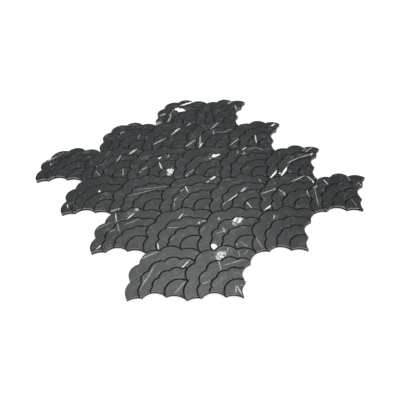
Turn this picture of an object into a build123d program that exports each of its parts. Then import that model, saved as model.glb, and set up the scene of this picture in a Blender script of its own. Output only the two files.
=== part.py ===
from build123d import *
import math
import os

# Self-adhesive mosaic sheet: 24 interlocking scalloped fans, each fan cut as
# four stone pieces (outer band, middle band, inner band, core), bonded to one
# thin adhesive backing sheet.  Millimetres, +Z up, laid flat, face up.
# Origin: centre of the sheet's box, on the underside of the backing.

# ---------------------------------------------------------------- dimensions
fan_width = 86.0            # pitch of the fans across the sheet
fan_height = 68.8           # pitch of the fans along the sheet (0.8 of the width)
joint = 1.3                 # open joint between two neighbouring pieces
stone_thickness = 3.4       # the cut stone pieces
backing_thickness = 0.8     # the adhesive backing sheet
eased_edge = 0.25           # small chamfer round the upper edge of every piece
fans_per_row = 3
row_count = 8               # rows are half a fan height apart, staggered

gap = joint / 2             # each piece stands back this far from a joint's centre line


def at(u, v):
    """A point of the fan, given in hundredths of the fan's width."""
    return (u * fan_width / 100, v * fan_width / 100)


# ------------------------------------------------ centre lines of the joints
# One fan, centred on (0, 0), with its axis along +Y.  It reaches from tip to
# tip across and from B to T along the axis.  Left half; the right half is its
# mirror image.
tip = at(-50.0, 0.0)
top = (0.0, fan_height / 2)
tip_radius = at(17.9, 0)[0]
notch_1 = at(-34.9, 17.7)       # between the tip's lobe and the shoulder lobe
notch_2 = at(-14.6, 32.3)       # between the shoulder lobe and the top lobe

tip_lobe_mid = (
    tip[0] + tip_radius - tip_radius * math.cos(math.radians(50)),
    tip_radius * math.sin(math.radians(50)),
)
shoulder_mid = at(-28.5, 30.35)

# outer band / middle band
band_3_end = at(-37.1, -5.6)
band_3_cusp_1 = at(-26.35, 7.0)
band_3_cusp_2 = at(-10.7, 16.2)
band_3_end_mid = at(-33.95, 2.7)
band_3_side_mid = at(-20.7, 15.45)
band_3_top = at(0.0, 21.8)

# middle band / inner band
band_2_end = at(-24.6, -7.75)
band_2_cusp_1 = at(-19.7, -4.55)
band_2_cusp_2 = at(-7.3, 1.9)
band_2_end_mid = at(-22.3, -5.0)
band_2_side_mid = at(-14.7, 1.5)
band_2_top = at(0.0, 5.5)

# inner band / core
core_top = at(0.0, -10.8)


def circle_through(a, b, c):
    """Centre and radius of the circle through three points."""
    ax, ay = a
    bx, by = b
    cx, cy = c
    d = 2 * (ax * (by - cy) + bx * (cy - ay) + cx * (ay - by))
    ux = ((ax**2 + ay**2) * (by - cy) + (bx**2 + by**2) * (cy - ay) + (cx**2 + cy**2) * (ay - by)) / d
    uy = ((ax**2 + ay**2) * (cx - bx) + (bx**2 + by**2) * (ax - cx) + (cx**2 + cy**2) * (bx - ax)) / d
    return (ux, uy), math.hypot(ax - ux, ay - uy)


def on_circle(circle, point):
    """The point of a circle that lies in the direction of the given point."""
    (cx, cy), r = circle
    a = math.atan2(point[1] - cy, point[0] - cx)
    return (cx + r * math.cos(a), cy + r * math.sin(a))


def arc_on(circle, start, end):
    """An arc of a known circle, as its start, middle and end points."""
    (cx, cy), r = circle
    a = math.atan2(start[1] - cy, start[0] - cx)
    b = math.atan2(end[1] - cy, end[0] - cx)
    turn = (b - a + math.pi) % (2 * math.pi) - math.pi
    m = a + turn / 2
    return (start, (cx + r * math.cos(m), cy + r * math.sin(m)), end)


def mirrored(arc):
    """The same arc on the other side of the fan's axis, run the other way."""
    return tuple((-x, y) for x, y in reversed(arc))


def moved(arc, dx, dy):
    return tuple((x + dx, y + dy) for x, y in arc)


def backwards(arc):
    return tuple(reversed(arc))


# The upper outline of a fan from its left tip to its top: three scallops.
tip_circle = circle_through(tip, tip_lobe_mid, notch_1)
shoulder_circle = circle_through(notch_1, shoulder_mid, notch_2)
top_circle = circle_through(notch_2, top, (-notch_2[0], notch_2[1]))
outline_left = [
    arc_on(tip_circle, tip, notch_1),
    arc_on(shoulder_circle, notch_1, notch_2),
    arc_on(top_circle, notch_2, top),
]
outline_right = [mirrored(a) for a in reversed(outline_left)]

# The lower left side of a fan is the upper right outline of its neighbour,
# half a pitch to the left and below.  Its three scallops, from the tip down:
side_dx, side_dy = -fan_width / 2, -fan_height / 2
side = [moved(a, side_dx, side_dy) for a in outline_right]
side_top_circle = ((top_circle[0][0] + side_dx, top_circle[0][1] + side_dy), top_circle[1])
side_shoulder_circle = (
    (-shoulder_circle[0][0] + side_dx, shoulder_circle[0][1] + side_dy),
    shoulder_circle[1],
)
end_3 = on_circle(side_top_circle, band_3_end)
end_2 = on_circle(side_shoulder_circle, band_2_end)
notch_upper = side[0][2]
notch_lower = side[1][2]
bottom = side[2][2]

side_outer = [arc_on(side_top_circle, tip, end_3)]
side_middle = [
    arc_on(side_top_circle, end_3, notch_upper),
    arc_on(side_shoulder_circle, notch_upper, end_2),
]
side_inner = [arc_on(side_shoulder_circle, end_2, notch_lower)]
side_core = [side[2]]

# The three scalloped joints inside a fan, from the left side to the right.
line_3_left = [
    (end_3, band_3_end_mid, band_3_cusp_1),
    (band_3_cusp_1, band_3_side_mid, band_3_cusp_2),
]
line_3 = line_3_left + [
    (band_3_cusp_2, band_3_top, (-band_3_cusp_2[0], band_3_cusp_2[1]))
] + [mirrored(a) for a in reversed(line_3_left)]

line_2_left = [
    (end_2, band_2_end_mid, band_2_cusp_1),
    (band_2_cusp_1, band_2_side_mid, band_2_cusp_2),
]
line_2 = line_2_left + [
    (band_2_cusp_2, band_2_top, (-band_2_cusp_2[0], band_2_cusp_2[1]))
] + [mirrored(a) for a in reversed(line_2_left)]

line_1 = [(notch_lower, core_top, (-notch_lower[0], notch_lower[1]))]

# Closed outlines of the four kinds of piece, clockwise from the left side.
right_of = lambda arcs: [mirrored(a) for a in reversed(arcs)]
outlines = {
    "outer_band": outline_left
    + outline_right
    + right_of(side_outer)
    + [backwards(a) for a in reversed(line_3)]
    + [backwards(a) for a in reversed(side_outer)],
    "middle_band": line_3
    + right_of(side_middle)
    + [backwards(a) for a in reversed(line_2)]
    + [backwards(a) for a in reversed(side_middle)],
    "inner_band": line_2
    + right_of(side_inner)
    + [backwards(a) for a in reversed(line_1)]
    + [backwards(a) for a in reversed(side_inner)],
    "core": line_1 + right_of(side_core) + [backwards(a) for a in reversed(side_core)],
}

# ------------------------------------------------------------ sheet's layout
# The cores' points stand back from the lowest joint centre, so the sheet's
# box is shifted a little to bring its middle onto the origin.
point_set_back = math.sqrt((tip_circle[1] + gap) ** 2 - (bottom[0] - (tip_circle[0][0] + fan_width / 2)) ** 2)
full_length = (row_count + 1) * fan_height / 2
y_shift = -((full_length / 2 - gap) + (-full_length / 2 + point_set_back)) / 2


def fan_centres(row):
    """Centres of the fans in one row, counted from the sheet's lower end."""
    stagger = fan_width / 4 if row % 2 == 0 else -fan_width / 4
    y = -full_length / 2 + fan_height / 2 + row * fan_height / 2 + y_shift
    return [((k - (fans_per_row - 1) / 2) * fan_width + stagger, y) for k in range(fans_per_row)]


# ------------------------------------------------------------- stone pieces
os.makedirs("parts", exist_ok=True)

for row in range(row_count):
    for kind, outline in outlines.items():
        with BuildPart() as stones:
            for x, y in fan_centres(row):
                with BuildSketch(Plane((x, y, backing_thickness))):
                    with BuildLine():
                        for start, middle, end in outline:
                            ThreePointArc(start, middle, end)
                    make_face()
                    offset(amount=-gap, kind=Kind.ARC, mode=Mode.REPLACE)
                extrude(amount=stone_thickness)
            chamfer(stones.faces().filter_by(Axis.Z).group_by(Axis.Z)[-1].edges(), length=eased_edge)
        name = f"{kind}_row_{row + 1}"
        stones.part.label = name
        export_step(stones.part, f"parts/{name}.step")

# ---------------------------------------------------------- adhesive backing
# Its edge follows the outer line of the whole sheet.  Every side of a fan
# with no neighbour behind it belongs to that line; the sides are chained end
# to end, clockwise.
centres = {}
for row in range(row_count):
    for x, y in fan_centres(row):
        centres[(round(2 * x / fan_width * 2), row)] = (x, y)

fan_side = {
    (-2, 1): outline_left,                                  # left tip to top
    (2, 1): outline_right,                                  # top to right tip
    (2, -1): [mirrored(a) for a in reversed(side)],         # bottom to right tip, turned below
    (-2, -1): side,                                         # left tip to bottom, turned below
}
loose = []
for (column, row), (x, y) in centres.items():
    for (dc, dr), arcs in fan_side.items():
        if (column + dc, row + dr) in centres:
            continue
        run = [moved(a, x, y) for a in arcs]
        if dr < 0:
            run = [backwards(a) for a in reversed(run)]
        loose.append(run)

chain = loose.pop(0)
while loose:
    here = chain[-1][2]
    following = next(r for r in loose if math.dist(r[0][0], here) < 0.01)
    loose.remove(following)
    chain = chain + [(here,) + following[0][1:]] + following[1:]
chain[-1] = chain[-1][:2] + (chain[0][0],)

with BuildPart() as backing:
    with BuildSketch():
        with BuildLine():
            for start, middle, end in chain:
                ThreePointArc(start, middle, end)
        make_face()
        offset(amount=-gap, kind=Kind.ARC, mode=Mode.REPLACE)
    extrude(amount=backing_thickness)
backing.part.label = "adhesive_backing"
export_step(backing.part, "parts/adhesive_backing.step")
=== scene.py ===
import math
import random

import bpy
from mathutils import Matrix, Vector, noise


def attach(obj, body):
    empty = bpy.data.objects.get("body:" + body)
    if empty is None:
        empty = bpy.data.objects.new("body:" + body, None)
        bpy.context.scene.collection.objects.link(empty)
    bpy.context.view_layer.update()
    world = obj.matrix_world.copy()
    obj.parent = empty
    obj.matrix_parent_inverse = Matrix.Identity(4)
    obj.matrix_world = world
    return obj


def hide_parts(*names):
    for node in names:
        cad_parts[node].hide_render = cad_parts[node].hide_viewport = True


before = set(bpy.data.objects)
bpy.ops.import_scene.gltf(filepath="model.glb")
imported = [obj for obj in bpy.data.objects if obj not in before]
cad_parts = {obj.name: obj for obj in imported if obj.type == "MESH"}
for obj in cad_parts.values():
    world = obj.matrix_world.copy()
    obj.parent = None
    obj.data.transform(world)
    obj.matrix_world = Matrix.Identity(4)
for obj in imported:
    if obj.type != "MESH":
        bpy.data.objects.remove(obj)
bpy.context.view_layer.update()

# Self-adhesive mosaic sheet, lying flat and face up: 24 scalloped fans of near-black veined
# stone, each cut as four pieces, on one thin adhesive backing.
# Shapes are worked out in millimetres and turned into metres when the mesh is made.

MM = 0.001

# ------------------------------------------------------------------ dimensions
FAN_WIDTH = 86.0
FAN_HEIGHT = 68.8
GAP = 0.65                  # half an open joint
BACKING_TOP = 0.8
STONE_TOP = 4.2
EASE = 0.25                 # rounded arris round the upper edge of a stone
FANS_PER_ROW = 3
ROWS = 8
SAMPLE = 0.75               # spacing of the points along an outline

# ------------------------------------------------------------ main streaks
# The plainest veins, stone by stone: (kind, row from the lower end, place in the row from the
# left): [(x, y, turn in degrees, half length, half width, strength), ...], in millimetres.
# The strength has three steps: faint, clear and bold. All other veining is generic.
STREAKS = {
    ("outer_band", 1, 0): [(-51.5, -103.5, 20, 7, 2.9, 0.55), (-42, -102.5, 35, 4, 0.3, 0.28), (-52.5, -100, 60, 1.5, 0.4, 0.55), (-36, -113, 60, 4, 0.4, 0.28), (-29.5, -116, 15, 4, 0.4, 0.28)],
    ("outer_band", 1, 1): [(25.5, -99.5, 35, 3.5, 0.5, 0.55), (-11, -115.5, 75, 8, 0.4, 0.28)],
    ("outer_band", 1, 2): [(94.5, -95.5, 0, 3, 1.5, 0.28), (83, -107.5, 50, 16.5, 0.4, 0.28), (134.5, -110, 70, 5, 0.4, 0.28), (109.5, -98.5, 75, 5, 0.45, 0.55)],
    ("middle_band", 1, 0): [(-56, -105.5, 60, 17.5, 0.6, 0.28), (-47, -117.5, -20, 10.5, 0.4, 0.28), (-83, -118.5, -20, 5, 0.4, 0.28)],
    ("middle_band", 1, 2): [(136.5, -124, 85, 4, 0.45, 0.55)],
    ("core", 1, 0): [(-65.5, -142, 51, 4.5, 0.7, 0.28), (-63.5, -144.5, 73, 5.2, 0.5, 0.55), (-57.5, -142.5, -40, 3, 0.4, 0.28)],
    ("core", 1, 2): [(108, -139, 70, 6.5, 0.35, 0.28)],
    ("outer_band", 2, 0): [(-114, -57, -10, 21, 0.7, 0.28)],
    ("outer_band", 2, 1): [(-21.5, -64, 55, 1.5, 1, 0.55), (-44, -65, 15, 4.5, 0.3, 0.28)],
    ("outer_band", 2, 2): [(34.5, -85.5, 0, 10.5, 0.9, 0.9), (100, -83.5, 85, 6.5, 0.5, 0.55), (99, -90.5, -75, 3, 1.1, 0.9), (48.5, -67.5, -15, 10, 0.4, 0.55), (89.5, -74, -7, 11, 0.5, 0.55)],
    ("middle_band", 2, 0): [(-91.5, -91.5, 15, 14.5, 0.5, 0.9), (-120.5, -78.5, 28, 16, 0.45, 0.28), (-88, -91, 5, 1.5, 0.4, 0.55)],
    ("middle_band", 2, 1): [(-50.5, -91, -64, 5, 2.6, 0.9), (-7, -77.5, 40, 6, 3.4, 0.55), (-13, -80, 50, 3, 2.1, 0.28), (-27.5, -79.5, 70, 4, 0.9, 0.28), (-31.5, -80, -15, 6, 0.5, 0.28)],
    ("middle_band", 2, 2): [(59, -82, 45, 2.5, 0.7, 0.28), (59.5, -77.5, 90, 5, 0.4, 0.55)],
    ("inner_band", 2, 2): [(80, -98, 55, 6, 0.4, 0.55)],
    ("core", 2, 0): [(-105, -108, 15, 10.5, 0.4, 0.28)],
    ("core", 2, 1): [(-24, -107, 97, 5, 0.4, 0.28), (-30, -102, 70, 2.5, 0.4, 0.28)],
    ("outer_band", 3, 0): [(-51, -35.5, 20, 4.5, 0.5, 0.9)],
    ("outer_band", 3, 1): [(53, -48.5, 65, 3.5, 0.5, 0.28)],
    ("outer_band", 3, 2): [(78.5, -49.5, 15, 17, 1, 0.9), (139.5, -45.5, 5, 8, 0.7, 0.28), (134.5, -42, 10, 3, 0.7, 0.28), (107.5, -19.5, 25, 2.5, 0.3, 0.55)],
    ("middle_band", 3, 0): [(-93, -54, 65, 5, 0.6, 0.55), (-41.5, -55.5, 20, 2, 0.8, 0.55), (-36.5, -56.5, -20, 3, 0.7, 0.28), (-67, -43.5, -40, 7, 0.35, 0.28)],
    ("middle_band", 3, 1): [(17.5, -49, 5, 16.5, 0.5, 0.9), (29, -46.5, 10, 4, 0.3, 0.9), (-2.5, -50.5, 5, 3.5, 0.6, 0.28)],
    ("middle_band", 3, 2): [(88, -54.5, 20, 10.5, 1.4, 0.9), (138, -52, 30, 6.5, 1, 0.55), (127, -51, -15, 10, 0.8, 0.28), (109.5, -47.5, -5, 8.5, 0.45, 0.55), (80, -54, -75, 1.5, 1.3, 0.55)],
    ("core", 3, 1): [(17, -69.5, 80, 5.5, 0.6, 0.55)],
    ("outer_band", 4, 0): [(-92.5, -1, 15, 6, 0.5, 0.9), (-138.5, -17, 10, 6, 0.6, 0.55), (-82.5, 3.5, -80, 2.5, 1.9, 0.28), (-121.5, 5, -5, 10, 0.4, 0.28), (-106.5, 7, 65, 7.5, 0.45, 0.55)],
    ("outer_band", 4, 1): [(17, -10, 5, 7.5, 1.1, 0.9), (5.5, -11.5, 5, 2, 0.8, 0.55)],
    ("outer_band", 4, 2): [(79, 7.5, 10, 4, 0.8, 0.55), (69.5, -1, 30, 6, 0.9, 0.28), (68, 7, 30, 2, 0.9, 0.28), (85.5, 1.5, -20, 7.5, 0.4, 0.28), (93.5, -5.5, -75, 5, 0.4, 0.28)],
    ("middle_band", 4, 0): [(-110, -2.5, 70, 12, 0.5, 0.28), (-118.5, -6.5, 5, 3.5, 0.5, 0.28), (-97, -9, -10, 8, 0.4, 0.28)],
    ("middle_band", 4, 1): [(-19, -0.5, 70, 12, 0.7, 0.55), (-29, -4, 5, 6.5, 0.8, 0.28), (-43, -12, 15, 6.5, 0.6, 0.28), (-45, -14.5, 60, 7, 0.45, 0.28)],
    ("outer_band", 5, 0): [(-105, 18.5, -15, 11, 0.9, 0.28)],
    ("outer_band", 5, 2): [(87.5, 27, 10, 20, 0.8, 0.28), (142, 20, 5, 4, 1, 0.9), (107.5, 49, 20, 2.5, 0.3, 0.28)],
    ("middle_band", 5, 0): [(-51.5, 21.5, -30, 21, 0.35, 0.28), (-63.5, 22, -20, 17, 0.35, 0.28)],
    ("middle_band", 5, 1): [(46.5, 21, 5, 9.5, 2.3, 0.9), (1.5, 15, 10, 5.5, 0.7, 0.28), (-6.5, 13, 15, 3, 0.7, 0.28), (33.5, 19.5, 20, 2, 1.2, 0.28)],
    ("inner_band", 5, 2): [(111, 22, 50, 17, 0.7, 0.28), (103, 12, 52, 8, 0.6, 0.55)],
    ("outer_band", 6, 0): [(-139.5, 56.5, 65, 3.5, 0.5, 0.55)],
    ("outer_band", 6, 2): [(32.5, 59, 10, 12, 0.9, 0.28), (80.5, 68.5, 15, 11.5, 0.9, 0.28)],
    ("middle_band", 6, 0): [(-100.5, 55, 80, 1.5, 1.1, 0.9)],
    ("middle_band", 6, 1): [(-13.5, 60, 10, 2.5, 0.8, 0.9), (-39.5, 55.5, 5, 5, 0.9, 0.28), (-46.5, 53.5, 20, 2, 0.9, 0.28), (-3.5, 56, 35, 3, 0.7, 0.28)],
    ("middle_band", 6, 2): [(46.5, 56, 50, 10.5, 1, 0.28), (41.5, 48, 30, 5.5, 1, 0.55), (70.5, 58, 55, 4.5, 0.7, 0.28), (87, 49.5, -5, 8.5, 0.4, 0.28), (78.5, 52, -40, 7.5, 0.35, 0.28)],
    ("inner_band", 6, 1): [(-21, 47.5, 70, 7.5, 0.8, 0.55)],
    ("core", 6, 1): [(-17.5, 31.5, 75, 5, 2.9, 0.55), (-22.5, 28, -70, 2.5, 1.4, 0.55), (-18, 33.5, 60, 2.5, 0.5, 0.55), (-12.5, 35.5, 75, 2, 0.7, 0.28)],
    ("outer_band", 7, 0): [(-33.5, 92, 15, 6, 1.1, 0.55), (-25.5, 94, 35, 2.5, 0.8, 0.55)],
    ("outer_band", 7, 1): [(60, 94.5, 15, 8, 1.1, 0.28)],
    ("outer_band", 7, 2): [(132, 98, 10, 4, 1.4, 0.28)],
    ("middle_band", 7, 0): [(-53, 92, 35, 7, 0.8, 0.28), (-81.5, 98, 70, 2.5, 0.7, 0.9), (-87, 84, -90, 5.5, 0.4, 0.28)],
    ("middle_band", 7, 1): [(-6, 88, 0, 22, 1.1, 0.28), (37.5, 93.5, 10, 5.5, 1.1, 0.55), (32.5, 91.5, 15, 10, 0.6, 0.55)],
    ("middle_band", 7, 2): [(129, 79.5, 60, 13, 1, 0.28)],
    ("core", 7, 0): [(-62.5, 66, 60, 7.5, 0.5, 0.28)],
    ("outer_band", 8, 0): [(-118.5, 144.5, 5, 6.5, 1, 0.28), (-128, 145, -10, 2, 1.4, 0.28), (-124, 135.5, 65, 2.5, 0.8, 0.28), (-110.5, 145, 10, 11, 0.4, 0.28)],
    ("outer_band", 8, 1): [(-36, 132.5, 14, 6.5, 0.5, 0.28)],
    ("outer_band", 8, 2): [(84, 135.5, -11, 10.5, 1.4, 0.9), (23.5, 122.5, -5, 7.5, 2.1, 0.28), (42.5, 135, -10, 5, 1.5, 0.28)],
    ("middle_band", 8, 1): [(-19.5, 137, 15, 4, 1.1, 0.55), (-38.5, 132, 35, 3.5, 1.1, 0.28), (-22, 136.5, 8, 6, 0.7, 0.9), (-36, 132.5, 14, 6.5, 0.5, 0.28)],
    ("middle_band", 8, 2): [(67.5, 129.5, -55, 8, 2.7, 0.9), (65, 127, -55, 2, 1.6, 0.9), (41.5, 119, 35, 5, 1, 0.28), (57.5, 133.5, 30, 5.5, 0.6, 0.28), (49, 126, 50, 7, 0.9, 0.28)],
    ("inner_band", 8, 1): [(-9.5, 114.5, 46, 7.5, 0.4, 0.28)],
}


# ---------------------------------------------------------- outlines of a fan
def at(u, v):
    return (u * FAN_WIDTH / 100, v * FAN_WIDTH / 100)


def circle_through(a, b, c):
    (ax, ay), (bx, by), (cx, cy) = a, b, c
    d = 2 * (ax * (by - cy) + bx * (cy - ay) + cx * (ay - by))
    ux = ((ax**2 + ay**2) * (by - cy) + (bx**2 + by**2) * (cy - ay) + (cx**2 + cy**2) * (ay - by)) / d
    uy = ((ax**2 + ay**2) * (cx - bx) + (bx**2 + by**2) * (ax - cx) + (cx**2 + cy**2) * (bx - ax)) / d
    return (ux, uy), math.hypot(ax - ux, ay - uy)


def on_circle(circle, point):
    (cx, cy), r = circle
    a = math.atan2(point[1] - cy, point[0] - cx)
    return (cx + r * math.cos(a), cy + r * math.sin(a))


def arc_on(circle, start, end):
    (cx, cy), r = circle
    a = math.atan2(start[1] - cy, start[0] - cx)
    b = math.atan2(end[1] - cy, end[0] - cx)
    turn = (b - a + math.pi) % (2 * math.pi) - math.pi
    m = a + turn / 2
    return (start, (cx + r * math.cos(m), cy + r * math.sin(m)), end)


def mirrored(arc):
    return tuple((-x, y) for x, y in reversed(arc))


def all_mirrored(arcs):
    return [mirrored(a) for a in reversed(arcs)]


def all_backwards(arcs):
    return [tuple(reversed(a)) for a in reversed(arcs)]


def opposite(arcs):
    """The same arcs on the other side of the axis, still run from the top down."""
    return [tuple((-x, y) for x, y in a) for a in arcs]


tip = at(-50.0, 0.0)
top = (0.0, FAN_HEIGHT / 2)
tip_radius = at(17.9, 0)[0]
notch_1 = at(-34.9, 17.7)
notch_2 = at(-14.6, 32.3)
tip_lobe_mid = (
    tip[0] + tip_radius - tip_radius * math.cos(math.radians(50)),
    tip_radius * math.sin(math.radians(50)),
)
tip_circle = circle_through(tip, tip_lobe_mid, notch_1)
shoulder_circle = circle_through(notch_1, at(-28.5, 30.35), notch_2)
top_circle = circle_through(notch_2, top, (-notch_2[0], notch_2[1]))
outline_left = [
    arc_on(tip_circle, tip, notch_1),
    arc_on(shoulder_circle, notch_1, notch_2),
    arc_on(top_circle, notch_2, top),
]
outline_right = all_mirrored(outline_left)

side_dx, side_dy = -FAN_WIDTH / 2, -FAN_HEIGHT / 2
side = [tuple((x + side_dx, y + side_dy) for x, y in a) for a in outline_right]
side_top_circle = ((top_circle[0][0] + side_dx, top_circle[0][1] + side_dy), top_circle[1])
side_shoulder_circle = (
    (-shoulder_circle[0][0] + side_dx, shoulder_circle[0][1] + side_dy),
    shoulder_circle[1],
)
end_3 = on_circle(side_top_circle, at(-37.1, -5.6))
end_2 = on_circle(side_shoulder_circle, at(-24.6, -7.75))
notch_upper, notch_lower, bottom = side[0][2], side[1][2], side[2][2]
side_outer = [arc_on(side_top_circle, tip, end_3)]
side_middle = [arc_on(side_top_circle, end_3, notch_upper), arc_on(side_shoulder_circle, notch_upper, end_2)]
side_inner = [arc_on(side_shoulder_circle, end_2, notch_lower)]
side_core = [side[2]]

cusp_31, cusp_32 = at(-26.35, 7.0), at(-10.7, 16.2)
left_3 = [(end_3, at(-33.95, 2.7), cusp_31), (cusp_31, at(-20.7, 15.45), cusp_32)]
line_3 = left_3 + [(cusp_32, at(0.0, 21.8), (-cusp_32[0], cusp_32[1]))] + all_mirrored(left_3)
cusp_21, cusp_22 = at(-19.7, -4.55), at(-7.3, 1.9)
left_2 = [(end_2, at(-22.3, -5.0), cusp_21), (cusp_21, at(-14.7, 1.5), cusp_22)]
line_2 = left_2 + [(cusp_22, at(0.0, 5.5), (-cusp_22[0], cusp_22[1]))] + all_mirrored(left_2)
line_1 = [(notch_lower, at(0.0, -10.8), (-notch_lower[0], notch_lower[1]))]

OUTLINES = {
    "outer_band": outline_left + outline_right + opposite(side_outer)
    + all_backwards(line_3) + all_backwards(side_outer),
    "middle_band": line_3 + opposite(side_middle) + all_backwards(line_2) + all_backwards(side_middle),
    "inner_band": line_2 + opposite(side_inner) + all_backwards(line_1) + all_backwards(side_inner),
    "core": line_1 + opposite(side_core) + all_backwards(side_core),
}


def as_segment(arc):
    """(centre x, centre y, radius, start angle, signed sweep) of an arc through three points."""
    (cx, cy), r = circle_through(*arc)
    a, m, b = (math.atan2(y - cy, x - cx) for x, y in arc)
    ccw = (b - a) % (2 * math.pi)
    return (cx, cy, r, a, ccw if (m - a) % (2 * math.pi) < ccw else ccw - 2 * math.pi)


def point_on(seg, t):
    cx, cy, r, a, sweep = seg
    return (cx + r * math.cos(a + sweep * t), cy + r * math.sin(a + sweep * t))


def heading(seg, t):
    s = 1 if seg[4] > 0 else -1
    a = seg[3] + seg[4] * t
    return (-math.sin(a) * s, math.cos(a) * s)


def meet(one, two, near):
    """Where two circles cross, nearest to a point."""
    x1, y1, r1 = one[:3]
    x2, y2, r2 = two[:3]
    d = math.hypot(x2 - x1, y2 - y1)
    a = (r1 * r1 - r2 * r2 + d * d) / (2 * d)
    h = math.sqrt(max(r1 * r1 - a * a, 0))
    ux, uy = (x2 - x1) / d, (y2 - y1) / d
    both = [(x1 + a * ux - s * h * uy, y1 + a * uy + s * h * ux) for s in (1, -1)]
    return min(both, key=lambda p: math.dist(p, near))


def inset(arcs, d):
    """A clockwise outline moved inwards by d, as segments. Inward corners are met, outward
    notches are rounded, and the count of segments doesn't depend on d."""
    segs = [as_segment(a) for a in arcs]
    shifted = [[cx, cy, r - d if sweep < 0 else r + d, a, sweep] for cx, cy, r, a, sweep in segs]
    bridges = {}
    for i, seg in enumerate(segs):
        j = (i + 1) % len(segs)
        p = point_on(seg, 1)
        t1, t2 = heading(seg, 1), heading(segs[j], 0)
        cross = t1[0] * t2[1] - t1[1] * t2[0]
        onward = t1[0] * t2[0] + t1[1] * t2[1] > 0
        if onward and abs(cross) < 0.02:
            continue
        if cross < 0.02:
            inward = (p[0] + (t2[0] - t1[0]) * d, p[1] + (t2[1] - t1[1]) * d)
            q = meet(shifted[i], shifted[j], inward)
            for k, end in ((i, True), (j, False)):
                cx, cy, r, a, sweep = shifted[k]
                b = math.atan2(q[1] - cy, q[0] - cx)
                if end:
                    turn = (b - (a + sweep) + math.pi) % (2 * math.pi) - math.pi
                    shifted[k][4] = sweep + turn
                else:
                    turn = (b - a + math.pi) % (2 * math.pi) - math.pi
                    shifted[k][3] = a + turn
                    shifted[k][4] = sweep - turn
        else:
            a1 = math.atan2(-t1[0], t1[1])
            a2 = math.atan2(-t2[0], t2[1])
            bridges[i] = [p[0], p[1], d, a1, (a2 - a1) % (2 * math.pi)]
    out = []
    for i, seg in enumerate(shifted):
        out.append(seg)
        if i in bridges:
            out.append(bridges[i])
    return out


def ring(segs, counts):
    """Points round an outline, with the same count on each segment whatever its inset."""
    points = []
    for seg, n in zip(segs, counts):
        points += [point_on(seg, k / n) for k in range(n)]
    return points


def corner_flags(segs, counts):
    """True where a segment starts, which is where a corner may be."""
    flags = []
    for n in counts:
        flags += [True] + [False] * (n - 1)
    return flags


point_set_back = math.sqrt((tip_circle[1] + GAP) ** 2 - (bottom[0] - (tip_circle[0][0] + FAN_WIDTH / 2)) ** 2)
full_length = (ROWS + 1) * FAN_HEIGHT / 2
y_shift = -((full_length / 2 - GAP) + (-full_length / 2 + point_set_back)) / 2


def fan_centres(row):
    stagger = FAN_WIDTH / 4 if row % 2 == 0 else -FAN_WIDTH / 4
    y = -full_length / 2 + FAN_HEIGHT / 2 + row * FAN_HEIGHT / 2 + y_shift
    return [((k - (FANS_PER_ROW - 1) / 2) * FAN_WIDTH + stagger, y) for k in range(FANS_PER_ROW)]


# Rings of a stone from its foot to its face: (how far in from the side, height below the face).
# The last steps follow the rounded arris.
STEPS = [(0.0, STONE_TOP - BACKING_TOP), (0.0, 1.9), (0.0, EASE)]
STEPS += [(EASE * (1 - math.cos(math.radians(a))), EASE * (1 - math.sin(math.radians(a)))) for a in (30, 60)]
STEPS += [(EASE, 0.0)]

templates = {}
for kind, outline in OUTLINES.items():
    base = inset(outline, GAP)
    counts = [max(3, round(s[2] * abs(s[4]) / SAMPLE)) for s in base]
    templates[kind] = ([ring(inset(outline, GAP + d), counts) for d, _ in STEPS], corner_flags(base, counts))


# Which side of a stone looks at which neighbouring fan. A side with no fan behind it is on the
# sheet's free edge; all others stand in a joint, where the cut side is darkened in patches with painted shade.
def contains(polygon, x, y):
    inside = False
    for (x1, y1), (x2, y2) in zip(polygon, polygon[1:] + polygon[:1]):
        if (y1 > y) != (y2 > y) and x < x1 + (y - y1) * (x2 - x1) / (y2 - y1):
            inside = not inside
    return inside


QUARTER = FAN_WIDTH / 4
AROUND = [(0, 0), (-4, 0), (4, 0), (-2, 1), (2, 1), (-2, -1), (2, -1), (0, 2), (0, -2)]
fan_segs = [as_segment(a) for a in outline_left + outline_right + opposite(side) + all_backwards(side)]
fan_polygon = ring(fan_segs, [12] * len(fan_segs))
fans_present = {(round(x / QUARTER), row) for row in range(ROWS) for x, _ in fan_centres(row)}


def looks_at(rings):
    """For each point of a stone's outline, the step to the fan that it faces."""
    faced = []
    for (x, y), (ix, iy) in zip(rings[0], rings[-1]):
        reach = 1.6 / max(math.hypot(x - ix, y - iy), 0.01)
        qx, qy = x + (x - ix) * reach, y + (y - iy) * reach
        found = (0, 0)
        for across, up in AROUND:
            if contains(fan_polygon, qx - across * QUARTER, qy - up * FAN_HEIGHT / 2):
                found = (across, up)
                break
        faced.append(found)
    return faced


facing = {kind: looks_at(rings) for kind, (rings, _) in templates.items()}


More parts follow.
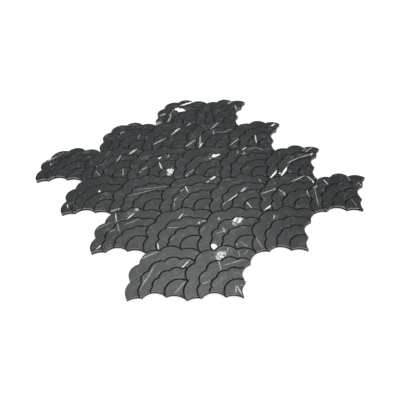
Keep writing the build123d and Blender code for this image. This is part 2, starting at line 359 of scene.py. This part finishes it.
# -------------------------------------------------------------- node building
class Nodes:
    """Short calls for building a node tree. A socket or a number goes in, a socket comes out."""

    def __init__(self, tree):
        self.tree = tree
        tree.nodes.clear()

    def put(self, kind, inputs=None, **settings):
        n = self.tree.nodes.new(kind)
        for key, value in settings.items():
            setattr(n, key, value)
        for key, value in (inputs or {}).items():
            self.give(n.inputs[key], value)
        return n

    def give(self, socket, value):
        if isinstance(value, bpy.types.NodeSocket):
            self.tree.links.new(value, socket)
        else:
            socket.default_value = value

    def math(self, op, a, b=0.0, c=0.0, clamp=False):
        n = self.put("ShaderNodeMath", operation=op, use_clamp=clamp)
        for socket, value in zip(n.inputs, (a, b, c)):
            self.give(socket, value)
        return n.outputs[0]

    def vec(self, op, a, b=(0.0, 0.0, 0.0), c=(0.0, 0.0, 0.0)):
        n = self.put("ShaderNodeVectorMath", operation=op)
        for socket, value in zip(n.inputs, (a, b, c)):
            self.give(socket, value)
        return n.outputs[0]

    def scaled(self, a, factor):
        n = self.put("ShaderNodeVectorMath", operation="SCALE")
        self.give(n.inputs[0], a)
        self.give(n.inputs["Scale"], factor)
        return n.outputs[0]

    def split(self, a):
        n = self.put("ShaderNodeSeparateXYZ", {0: a})
        return n.outputs[0], n.outputs[1], n.outputs[2]

    def join(self, x, y, z):
        return self.put("ShaderNodeCombineXYZ", {0: x, 1: y, 2: z}).outputs[0]

    def attribute(self, name, output="Vector"):
        return self.put("ShaderNodeAttribute", attribute_name=name, attribute_type="GEOMETRY").outputs[output]

    def noise(self, vector, scale, detail=2.0, rough=0.5, colour=False):
        n = self.put(
            "ShaderNodeTexNoise",
            {"Vector": vector, "Scale": scale, "Detail": detail, "Roughness": rough},
            noise_dimensions="3D",
        )
        return n.outputs["Color" if colour else "Fac"]

    def crack(self, vector, scale):
        n = self.put(
            "ShaderNodeTexVoronoi", {"Vector": vector, "Scale": scale}, feature="DISTANCE_TO_EDGE"
        )
        return n.outputs["Distance"]

    def ramp(self, value, low, high, out_low=0.0, out_high=1.0, smooth=True):
        n = self.put(
            "ShaderNodeMapRange",
            {"Value": value, "From Min": low, "From Max": high, "To Min": out_low, "To Max": out_high},
            interpolation_type="SMOOTHSTEP" if smooth else "LINEAR",
        )
        return n.outputs["Result"]

    def blend(self, factor, a, b):
        n = self.put("ShaderNodeMix", data_type="RGBA", blend_type="MIX")
        for name, value in (("Factor_Float", factor), ("A_Color", a), ("B_Color", b)):
            self.give(next(s for s in n.inputs if s.identifier == name), value)
        return next(s for s in n.outputs if s.identifier == "Result_Color")

    def bump(self, height, strength, distance, normal=None):
        inputs = {"Height": height, "Strength": strength, "Distance": distance}
        if normal is not None:
            inputs["Normal"] = normal
        return self.put("ShaderNodeBump", inputs).outputs["Normal"]


def new_material(name):
    m = bpy.data.materials.new(name)
    m.use_nodes = True
    return m, Nodes(m.node_tree)


STREAK_SLOTS = 5


def honed_stone():
    """Near-black marble, honed: soft tonal clouds, fine pale speckle, hairlines, and the white
    streaks and granular patches that each stone carries as attributes."""
    m, g = new_material("honed_black_marble")
    place = g.scaled(g.put("ShaderNodeTexCoord").outputs["Object"], 1000.0)   # millimetres
    seed = g.attribute("stone_seed")
    turn_x, tone, turn_z = g.split(g.attribute("stone_turn"))
    own = g.vec("ADD", place, seed)

    wobble = g.vec("SUBTRACT", g.noise(own, 0.22, 3.0, 0.6, colour=True), (0.5, 0.5, 0.5))
    along = g.noise(own, 0.3, 2.0, 0.55)
    grain = g.noise(own, 0.95, 3.0, 0.6)
    ragged = g.vec("SUBTRACT", g.noise(own, 1.3, 3.0, 0.65, colour=True), (0.5, 0.5, 0.5))
    drift = g.vec("SUBTRACT", g.noise(own, 0.1, 1.0, 0.4, colour=True), (0.5, 0.5, 0.5))
    # angular fragments, as in a healed breccia
    lumps = g.ramp(g.crack(g.vec("ADD", own, g.scaled(ragged, 0.9)), 0.58), 0.02, 0.08)
    lumps = g.math("MULTIPLY", lumps, g.ramp(g.noise(own, 0.42, 2.0, 0.5), 0.40, 0.48))
    fragments = g.math("MULTIPLY_ADD", lumps, 1.3, 0.12)
    crystal = g.ramp(grain, 0.3, 0.6, 0.7, 1.08)
    px, py, _ = g.split(place)
    flat = g.join(px, py, 0.0)

    streak_total, halo_total, shatter_total = None, None, None
    for k in range(STREAK_SLOTS):
        cx, cy, angle = g.split(g.attribute(f"streak_{k}_place"))
        size = g.attribute(f"streak_{k}_size")
        half_length, half_width, strength = g.split(size)
        rel = g.vec("SUBTRACT", flat, g.join(cx, cy, 0.0))
        turned = g.put(
            "ShaderNodeVectorRotate", {"Vector": rel, "Angle": g.math("MULTIPLY", angle, -1.0)}, rotation_type="Z_AXIS"
        ).outputs[0]
        swing = g.math("MULTIPLY_ADD", half_width, 0.8, 0.08)
        bend = g.vec("MULTIPLY", wobble, g.join(g.math("MULTIPLY", half_length, 0.3), swing, 0.0))
        nibble = g.math("MULTIPLY_ADD", half_width, 0.45, 0.22)
        bend = g.vec("ADD", bend, g.vec("MULTIPLY", ragged, g.join(2.2, nibble, 0.0)))
        u, v, _ = g.split(g.vec("DIVIDE", g.vec("ADD", turned, bend), size))
        u = g.math("ABSOLUTE", u)
        v = g.math("ABSOLUTE", v)
        taper = g.math("SUBTRACT", 1.0, g.math("POWER", u, 3.4), clamp=True)
        wide = g.ramp(half_width, 1.3, 2.4)
        lens = g.math("MULTIPLY", taper, g.math("MULTIPLY_ADD", along, 1.0, 0.4))
        lens = g.math("MULTIPLY", lens, g.math("MULTIPLY_ADD", wide, 0.55, 1.0))
        body = g.math("MULTIPLY", g.ramp(g.math("SUBTRACT", v, lens), 0.24, -0.16), g.ramp(u, 1.25, 0.9))
        # wide patches break up into fragments
        loose = g.math("MULTIPLY", wide, g.ramp(strength, 0.9, 0.55, 0.3, 1.0, smooth=False))
        broken = g.math("MULTIPLY_ADD", loose, g.math("SUBTRACT", fragments, 1.0), 1.0)
        body = g.math("MULTIPLY", g.math("MULTIPLY", body, strength), broken)
        body = g.math("MULTIPLY", g.math("MULTIPLY", body, g.ramp(along, 0.25, 0.62, 0.95, 1.3)), crystal)
        glow = g.math("MULTIPLY", g.ramp(v, 2.8, 0.3), g.math("MULTIPLY", taper, strength))
        streak_total = body if streak_total is None else g.math("MAXIMUM", streak_total, body)
        halo_total = glow if halo_total is None else g.math("MAXIMUM", halo_total, glow)
        shattered = g.math("MULTIPLY", wide, g.math("MULTIPLY", g.ramp(u, 2.6, 1.2), g.ramp(v, 4.2, 2.0)))
        shatter_total = shattered if shatter_total is None else g.math("MAXIMUM", shatter_total, shattered)
    streak_total = g.math("MINIMUM", streak_total, 1.0)

    # generic veins, turned a little from stone to stone
    turned = g.put(
        "ShaderNodeVectorRotate", {"Vector": own, "Angle": turn_x}, rotation_type="Z_AXIS"
    ).outputs[0]
    warp = g.vec("ADD", turned, g.scaled(wobble, 7.0))
    stretched = g.vec("MULTIPLY", warp, (0.16, 1.0, 1.0))
    ridge = g.math("ABSOLUTE", g.math("SUBTRACT", g.noise(stretched, 0.105, 3.0, 0.5), 0.5))
    where = g.noise(own, 0.055, 1.0, 0.5)
    pale = g.math("MULTIPLY", g.ramp(ridge, 0.009, 0.001), g.ramp(where, 0.5, 0.64))
    across = g.put(
        "ShaderNodeVectorRotate", {"Vector": own, "Angle": turn_z}, rotation_type="Z_AXIS"
    ).outputs[0]
    fine = g.crack(g.vec("MULTIPLY", g.vec("ADD", across, g.scaled(g.vec("MULTIPLY_ADD", ragged, (0.05, 0.05, 0.05), drift), 9.0)), (0.45, 1.0, 1.0)), 0.085)
    hair = g.math("MULTIPLY", g.ramp(fine, 0.018, 0.004), g.ramp(g.noise(own, 0.09, 2.0, 0.5), 0.46, 0.62))
    net = g.ramp(g.crack(g.vec("ADD", own, g.scaled(wobble, 4.5)), 0.2), 0.06, 0.015)
    net = g.math("MULTIPLY", net, g.ramp(along, 0.42, 0.6))
    hair = g.math("MAXIMUM", hair, g.math("MULTIPLY", g.math("MULTIPLY", net, shatter_total), 1.6))

    # the stone's grain: short straight faint dashes, all one way
    lay = g.vec("MULTIPLY", g.vec("ADD", turned, g.scaled(wobble, 1.2)), (0.07, 1.0, 1.0))
    dash = g.math("MULTIPLY", g.ramp(g.noise(lay, 0.62, 2.0, 0.55), 0.60, 0.72), g.ramp(g.noise(own, 0.05, 2.0, 0.5), 0.42, 0.62, 0.25, 1.0))

    clouds = g.ramp(g.noise(warp, 0.06, 4.0, 0.6), 0.3, 0.7, 0.89, 1.12)
    mottle = g.ramp(g.noise(own, 0.75, 3.0, 0.65), 0.25, 0.75, 0.72, 1.28)
    speck = g.ramp(g.noise(own, 2.4, 2.0, 0.5), 0.60, 0.74)

    level = g.math("MULTIPLY", g.math("MULTIPLY", clouds, mottle), tone)
    ground = g.scaled(g.join(0.0121, 0.0158, 0.0177), level)
    colour = g.blend(g.math("MULTIPLY", speck, 0.16), ground, (0.33, 0.34, 0.34, 1))
    colour = g.blend(g.math("MULTIPLY", halo_total, 0.06), colour, (0.40, 0.41, 0.40, 1))
    colour = g.blend(g.math("MULTIPLY", pale, 0.26), colour, (0.44, 0.45, 0.44, 1))
    colour = g.blend(g.math("MULTIPLY", dash, 0.22), colour, (0.36, 0.37, 0.37, 1))
    colour = g.blend(g.math("MULTIPLY", hair, 0.25), colour, (0.42, 0.42, 0.41, 1))
    colour = g.blend(streak_total, colour, (0.88, 0.88, 0.865, 1))

    rough = g.ramp(g.noise(own, 0.12, 2.0, 0.5), 0.3, 0.7, 0.385, 0.425)
    rough = g.math("ADD", rough, g.ramp(g.noise(own, 0.9, 3.0, 0.65), 0.3, 0.7, -0.045, 0.045))
    rough = g.math("ADD", rough, g.math("MULTIPLY", streak_total, 0.1))
    tooth = g.noise(own, 5.0, 2.0, 0.6)
    normal = g.bump(tooth, 0.25, 0.00004)
    normal = g.bump(g.math("ADD", g.math("MULTIPLY", streak_total, 0.6), g.math("MULTIPLY", hair, -0.5)), 0.3, 0.00006, normal)
    shader = g.put(
        "ShaderNodeBsdfPrincipled",
        {"Base Color": colour, "Roughness": rough, "Normal": normal, "IOR": 1.5, "Specular IOR Level": 0.3},
    )
    out = g.put("ShaderNodeOutputMaterial")
    m.node_tree.links.new(shader.outputs[0], out.inputs[0])
    return m


def cut_stone():
    """The sawn sides: unpolished, a pale band below the face and dark at the foot, the dark foot partly the stone's
    dark body and partly painted shade of the lower wall. In the joints the pale band is darkened in patches with
    painted shade."""
    m, g = new_material("cut_stone_side")
    place = g.scaled(g.put("ShaderNodeTexCoord").outputs["Object"], 1000.0)
    seed = g.attribute("stone_seed")
    own = g.vec("ADD", place, seed)
    _, _, z = g.split(place)
    ragged = g.math("MULTIPLY_ADD", g.noise(own, 0.5, 3.0, 0.6), 0.9, z)
    # pale band from a ragged line a little over 2 mm up to just under the arris; below it the side turns dark, partly
    # painted shade of the lower wall
    upper = g.math("MULTIPLY", g.ramp(ragged, 2.6, 3.1), g.ramp(g.math("MULTIPLY_ADD", g.noise(own, 0.16, 2.0, 0.6), 1.4, z), 4.65, 4.25))
    # painted shade in the joints, in patches: the pale band is darkened there, while sides on the free edge keep it
    patchy_painted_joint_shade = g.ramp(g.noise(own, 0.3, 2.0, 0.5), 0.42, 0.58, 0.15, 1.0)
    pale_kept_from_painted_joint_shade = g.math("MAXIMUM", g.attribute("open_side", "Fac"), patchy_painted_joint_shade)
    upper = g.math("MULTIPLY", upper, pale_kept_from_painted_joint_shade)
    saw = g.noise(g.vec("MULTIPLY", own, (1.0, 1.0, 0.12)), 2.2, 3.0, 0.6)
    dust = g.noise(own, 0.8, 3.0, 0.6)
    pale = g.blend(g.ramp(dust, 0.3, 0.7), (0.300, 0.312, 0.266, 1), (0.420, 0.432, 0.372, 1))
    # this dark colour is the stone's dark body, and also painted shade at the foot and in the joints
    dark = g.blend(g.ramp(dust, 0.3, 0.7), (0.012, 0.0125, 0.0090, 1), (0.022, 0.0225, 0.0165, 1))
    colour = g.blend(upper, dark, pale)
    colour = g.blend(g.math("MULTIPLY", g.ramp(saw, 0.5, 0.75), 0.12), colour, (0.30, 0.30, 0.285, 1))
    rough = g.ramp(saw, 0.3, 0.7, 0.72, 0.9)
    normal = g.bump(saw, 0.5, 0.00012)
    shader = g.put(
        "ShaderNodeBsdfPrincipled", {"Base Color": colour, "Roughness": rough, "Normal": normal, "IOR": 1.45}
    )
    out = g.put("ShaderNodeOutputMaterial")
    m.node_tree.links.new(shader.outputs[0], out.inputs[0])
    return m


def backing_film():
    """Dark adhesive sheet: matte, with the faint square weave of its carrier."""
    m, g = new_material("adhesive_film")
    place = g.scaled(g.put("ShaderNodeTexCoord").outputs["Object"], 1000.0)
    x, y, z = g.split(place)
    bent = g.scaled(g.vec("SUBTRACT", g.noise(place, 0.15, 2.0, 0.5, colour=True), (0.5, 0.5, 0.5)), 0.5)
    bx, by, _ = g.split(g.vec("ADD", place, bent))
    wave_x = g.math("SINE", g.math("MULTIPLY", bx, 2 * math.pi / 2.0))
    wave_y = g.math("SINE", g.math("MULTIPLY", by, 2 * math.pi / 2.0))
    weave = g.math("MAXIMUM", g.ramp(wave_x, 0.55, 0.95), g.ramp(wave_y, 0.55, 0.95))
    cloud = g.ramp(g.noise(place, 0.05, 4.0, 0.6), 0.3, 0.7)
    colour = g.blend(cloud, (0.006, 0.006, 0.006, 1), (0.011, 0.011, 0.010, 1))
    colour = g.blend(g.math("MULTIPLY", weave, 0.35), colour, (0.022, 0.022, 0.021, 1))
    grain = g.noise(place, 3.0, 3.0, 0.6)
    rough = g.ramp(grain, 0.3, 0.7, 0.62, 0.82)
    normal = g.bump(g.math("MULTIPLY_ADD", grain, 0.3, weave), 0.4, 0.00008)
    shader = g.put(
        "ShaderNodeBsdfPrincipled", {"Base Color": colour, "Roughness": rough, "Normal": normal, "IOR": 1.45}
    )
    out = g.put("ShaderNodeOutputMaterial")
    m.node_tree.links.new(shader.outputs[0], out.inputs[0])
    return m


HONED, CUT, FILM = honed_stone(), cut_stone(), backing_film()


# --------------------------------------------------------------- stone pieces
def stone_row(kind, row):
    """The three stones of one kind in one row, as one piece with three islands."""
    rings, corners = templates[kind]
    n = len(corners)
    verts, faces, slots = [], [], []
    info = []
    open_side = []
    for index, (fx, fy) in enumerate(fan_centres(row)):
        rng = random.Random(f"{kind} {row} {index}")
        lean_x, lean_y = rng.uniform(-0.0008, 0.0008), rng.uniform(-0.0008, 0.0008)
        drop = rng.uniform(0.0, 0.05) + 40 * (abs(lean_x) + abs(lean_y))
        if row == 3 and kind == "core":
            lean_x = lean_y = drop = 0.0
        phase = Vector((rng.uniform(0, 90), rng.uniform(0, 90), rng.uniform(0, 90)))
        first = len(verts)
        for step, ((d, below), points) in enumerate(zip(STEPS, rings)):
            for k, (x, y) in enumerate(points):
                z = STONE_TOP - below
                if step:
                    share = (z - BACKING_TOP) / (STONE_TOP - BACKING_TOP)
                    z -= share * (drop + lean_x * x + lean_y * y)
                if step == len(STEPS) - 1 and not corners[k]:
                    # the arris is worn a little more here and a little less there
                    wear = 0.5 + 0.5 * noise.noise(Vector((x * 0.35, y * 0.35, 0.0)) + phase)
                    ox, oy = rings[2][k]
                    x, y = x + (x - ox) * 0.35 * wear, y + (y - oy) * 0.35 * wear
                verts.append(((x + fx) * MM, (y + fy) * MM, z * MM))
        for step in range(len(STEPS) - 1):
            a, b = first + step * n, first + (step + 1) * n
            for k in range(n):
                j = (k + 1) % n
                faces.append((a + j, a + k, b + k, b + j))
                slots.append(1 if step < 4 else 0)
        last = first + (len(STEPS) - 1) * n
        faces.append(tuple(last + n - 1 - k for k in range(n)))
        slots.append(0)
        faces.append(tuple(first + k for k in range(n)))
        slots.append(1)

        streaks = list(STREAKS.get((kind, row + 1, index), []))[:STREAK_SLOTS]
        streaks += [(0.0, 0.0, 0.0, 1.0, 1.0, 0.0)] * (STREAK_SLOTS - len(streaks))
        seed = (rng.uniform(-900, 900), rng.uniform(-900, 900), rng.uniform(-900, 900))
        turn = (math.radians(rng.gauss(0, 14)), rng.uniform(0.92, 1.08), math.radians(rng.uniform(50, 125)))
        info.append((len(verts) - first, seed, turn, streaks))

        column = round(fx / QUARTER)
        free = [
            0.0 if (across, up) == (0, 0) or (column + across, row + up) in fans_present else 1.0
            for across, up in facing[kind]
        ]
        open_side += free * len(STEPS)

    mesh = bpy.data.meshes.new(f"{kind}_row_{row + 1}_stones")
    mesh.from_pydata(verts, [], faces)
    mesh.materials.append(HONED)
    mesh.materials.append(CUT)
    mesh.polygons.foreach_set("material_index", slots)
    mesh.polygons.foreach_set("use_smooth", [True] * len(faces))

    def attribute(name, values):
        layer = mesh.attributes.new(name, "FLOAT_VECTOR", "POINT")
        flat = []
        for (count, *_), value in zip(info, values):
            flat += list(value) * count
        layer.data.foreach_set("vector", flat)

    layer = mesh.attributes.new("open_side", "FLOAT", "POINT")
    layer.data.foreach_set("value", open_side)
    attribute("stone_seed", [i[1] for i in info])
    attribute("stone_turn", [i[2] for i in info])
    for k in range(STREAK_SLOTS):
        attribute(f"streak_{k}_place", [(i[3][k][0], i[3][k][1], math.radians(i[3][k][2])) for i in info])
        attribute(f"streak_{k}_size", [i[3][k][3:6] for i in info])

    mesh.validate()
    mesh.set_sharp_from_angle(angle=math.radians(36))
    obj = bpy.data.objects.new(mesh.name, mesh)
    bpy.context.scene.collection.objects.link(obj)
    even = obj.modifiers.new("even_normals", "WEIGHTED_NORMAL")
    even.keep_sharp = True
    even.weight = 100
    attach(obj, "root")
    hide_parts(f"{kind}_row_{row + 1}")
    return obj


for row in range(ROWS):
    for kind in OUTLINES:
        stone_row(kind, row)

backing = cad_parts["adhesive_backing"]
for k in range(len(backing.material_slots)):
    backing.material_slots[k].material = FILM

# ------------------------------------------------------------ floor and light
def floor_material():
    m, g = new_material("pale_floor")
    place = g.put("ShaderNodeTexCoord").outputs["Object"]
    tint = g.blend(g.ramp(g.noise(place, 6.0, 2.0, 0.5), 0.3, 0.7), (0.28, 0.28, 0.28, 1), (0.3, 0.3, 0.3, 1))
    # the lamps fade with distance, so the far floor makes up for it and the horizon stays plain
    away = g.put("ShaderNodeVectorMath", {0: place}, operation="LENGTH").outputs["Value"]
    glow = g.ramp(away, 0.5, 2.0, 0.76, 0.97)
    shader = g.put(
        "ShaderNodeBsdfPrincipled",
        {"Base Color": tint, "Roughness": 0.9, "Specular IOR Level": 0.0, "Emission Color": (1, 1, 1, 1), "Emission Strength": glow},
    )
    out = g.put("ShaderNodeOutputMaterial")
    m.node_tree.links.new(shader.outputs[0], out.inputs[0])
    return m


floor_mesh = bpy.data.meshes.new("floor")
FLOOR = 6.0
floor_mesh.from_pydata(
    [(-FLOOR, -FLOOR, -0.0001), (FLOOR, -FLOOR, -0.0001), (FLOOR, FLOOR, -0.0001), (-FLOOR, FLOOR, -0.0001)], [], [(0, 1, 2, 3)]
)
floor_mesh.materials.append(floor_material())
floor = bpy.data.objects.new("floor", floor_mesh)
bpy.context.scene.collection.objects.link(floor)

world = bpy.data.worlds.new("studio")
bpy.context.scene.world = world
world.use_nodes = True
g = Nodes(world.node_tree)
_, _, up = g.split(g.put("ShaderNodeTexCoord").outputs["Generated"])
sky = g.blend(g.ramp(up, 0.03, 0.30), (0.95, 0.95, 0.95, 1), (0.12, 0.12, 0.12, 1))
back = g.put("ShaderNodeBackground", {"Color": sky, "Strength": 1.0})
out = g.put("ShaderNodeOutputWorld")
world.node_tree.links.new(back.outputs[0], out.inputs[0])


def area_light(name, azimuth, elevation, distance, width, height, power, target=(0.0, 0.0, 0.0), colour=(1, 1, 1)):
    """A soft box over the sheet. Azimuth is measured from +X towards +Y."""
    data = bpy.data.lights.new(name, "AREA")
    data.shape = "RECTANGLE"
    data.size, data.size_y = width, height
    data.energy = power
    data.color = colour
    lamp = bpy.data.objects.new(name, data)
    a, e = math.radians(azimuth), math.radians(elevation)
    way = Vector((math.cos(a) * math.cos(e), math.sin(a) * math.cos(e), math.sin(e)))
    lamp.location = Vector(target) + way * distance
    lamp.rotation_mode = "QUATERNION"
    lamp.rotation_quaternion = way.to_track_quat("Z", "Y")
    bpy.context.scene.collection.objects.link(lamp)
    return lamp


area_light("soft_box", 57, 65, 1.6, 0.62, 0.62, 15.3, colour=(0.97, 1.0, 1.01))
area_light("top_light", 57, 86, 2.0, 1.4, 1.4, 26)

bpy.context.scene.view_settings.view_transform = "Standard"
bpy.context.scene.view_settings.look = "None"
bpy.context.scene.view_settings.exposure = 0.0
bpy.context.scene.view_settings.gamma = 1.0

# --------------------------------------------------------------------- camera
camera_data = bpy.data.cameras.new("camera")
camera_data.sensor_width = 36.0
camera_data.lens = 39.12864
camera_data.clip_start = 0.01
camera_data.clip_end = 50.0
camera = bpy.data.objects.new("camera", camera_data)
right = Vector((0.7893280140, -0.6133744180, -0.0270759973))
down = Vector((-0.4509957, -0.5493166, -0.7034586))
ahead = Vector((0.4166102, 0.5674708, -0.7102202))
turn = Matrix((right, -down, -ahead)).transposed()
camera.matrix_world = Matrix.Translation(Vector((-0.22153419, -0.30388022, 0.34776825))) @ turn.to_4x4()
bpy.context.scene.collection.objects.link(camera)
bpy.context.scene.camera = camera
